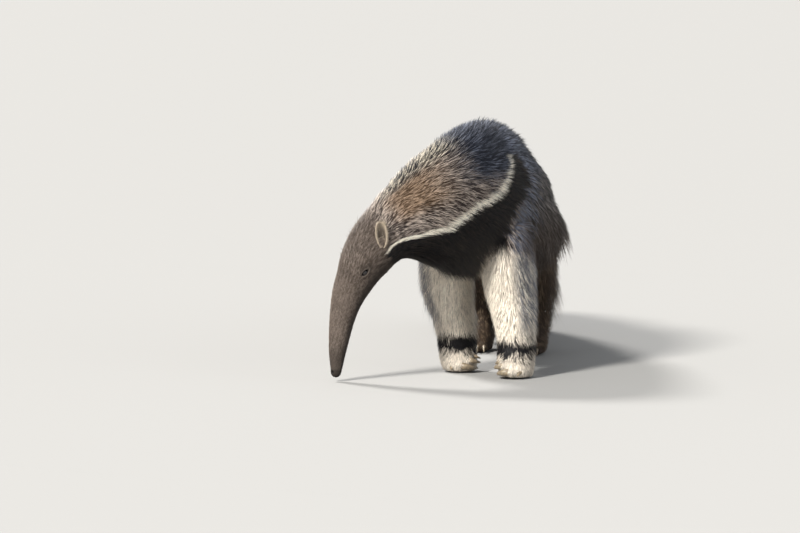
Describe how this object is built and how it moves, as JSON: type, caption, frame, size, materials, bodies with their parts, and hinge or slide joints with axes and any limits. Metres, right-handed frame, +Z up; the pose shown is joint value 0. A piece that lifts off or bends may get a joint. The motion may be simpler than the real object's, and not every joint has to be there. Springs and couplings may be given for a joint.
{
  "type": "life-size giant anteater figure",
  "caption": "Standing giant anteater with its neck turned to its right and its long snout held down to the ground, its bushy tail hanging behind.",
  "frame": {"origin": "centre of the bounding box on the floor, at the level of the soles", "axes": "+Z up; -Y the way the body faces, so the tail lies towards +Y; +X the animal's left"},
  "size_m": [0.5074, 1.7563, 0.6433],
  "materials": {
    "head_fur": "short, close grizzled grey-brown hair",
    "neck_fur": "grizzled brown-grey hair under a dark crest",
    "body_fur": "long, coarse grey-black hair with a black band and a white stripe",
    "tail_fur": "very long, coarse, hanging dark brown hair",
    "foreleg_fur": "cream-white hair with a black band above the toes",
    "hindleg_fur": "coarse, dark brown hair",
    "ear_fur": "short, pale hair on thin skin",
    "eye": "wet, dark brown",
    "claw": "smooth, worn horn"
  },
  "bodies": {
    "root": {"chest": "body_fur", "ear_left": "ear_fur", "ear_right": "ear_fur", "eye_left": "eye", "eye_right": "eye", "foreclaw_left_1": "claw", "foreclaw_left_2": "claw", "foreclaw_left_3": "claw", "foreclaw_left_4": "claw", "foreclaw_right_1": "claw", "foreclaw_right_2": "claw", "foreclaw_right_3": "claw", "foreclaw_right_4": "claw", "forefoot_left": "foreleg_fur", "forefoot_right": "foreleg_fur", "foreleg_left": "foreleg_fur", "foreleg_right": "foreleg_fur", "head": "head_fur", "hindclaw_left_1": "claw", "hindclaw_left_2": "claw", "hindclaw_left_3": "claw", "hindclaw_left_4": "claw", "hindclaw_left_5": "claw", "hindclaw_right_1": "claw", "hindclaw_right_2": "claw", "hindclaw_right_3": "claw", "hindclaw_right_4": "claw", "hindclaw_right_5": "claw", "hindfoot_left": "hindleg_fur", "hindfoot_right": "hindleg_fur", "hindleg_left": "hindleg_fur", "hindleg_right": "hindleg_fur", "neck": "neck_fur", "rump": "body_fur", "tail_base": "tail_fur", "tail_end": "tail_fur", "tail_half": "tail_fur", "trunk": "body_fur"}
  },
  "joints": []
}
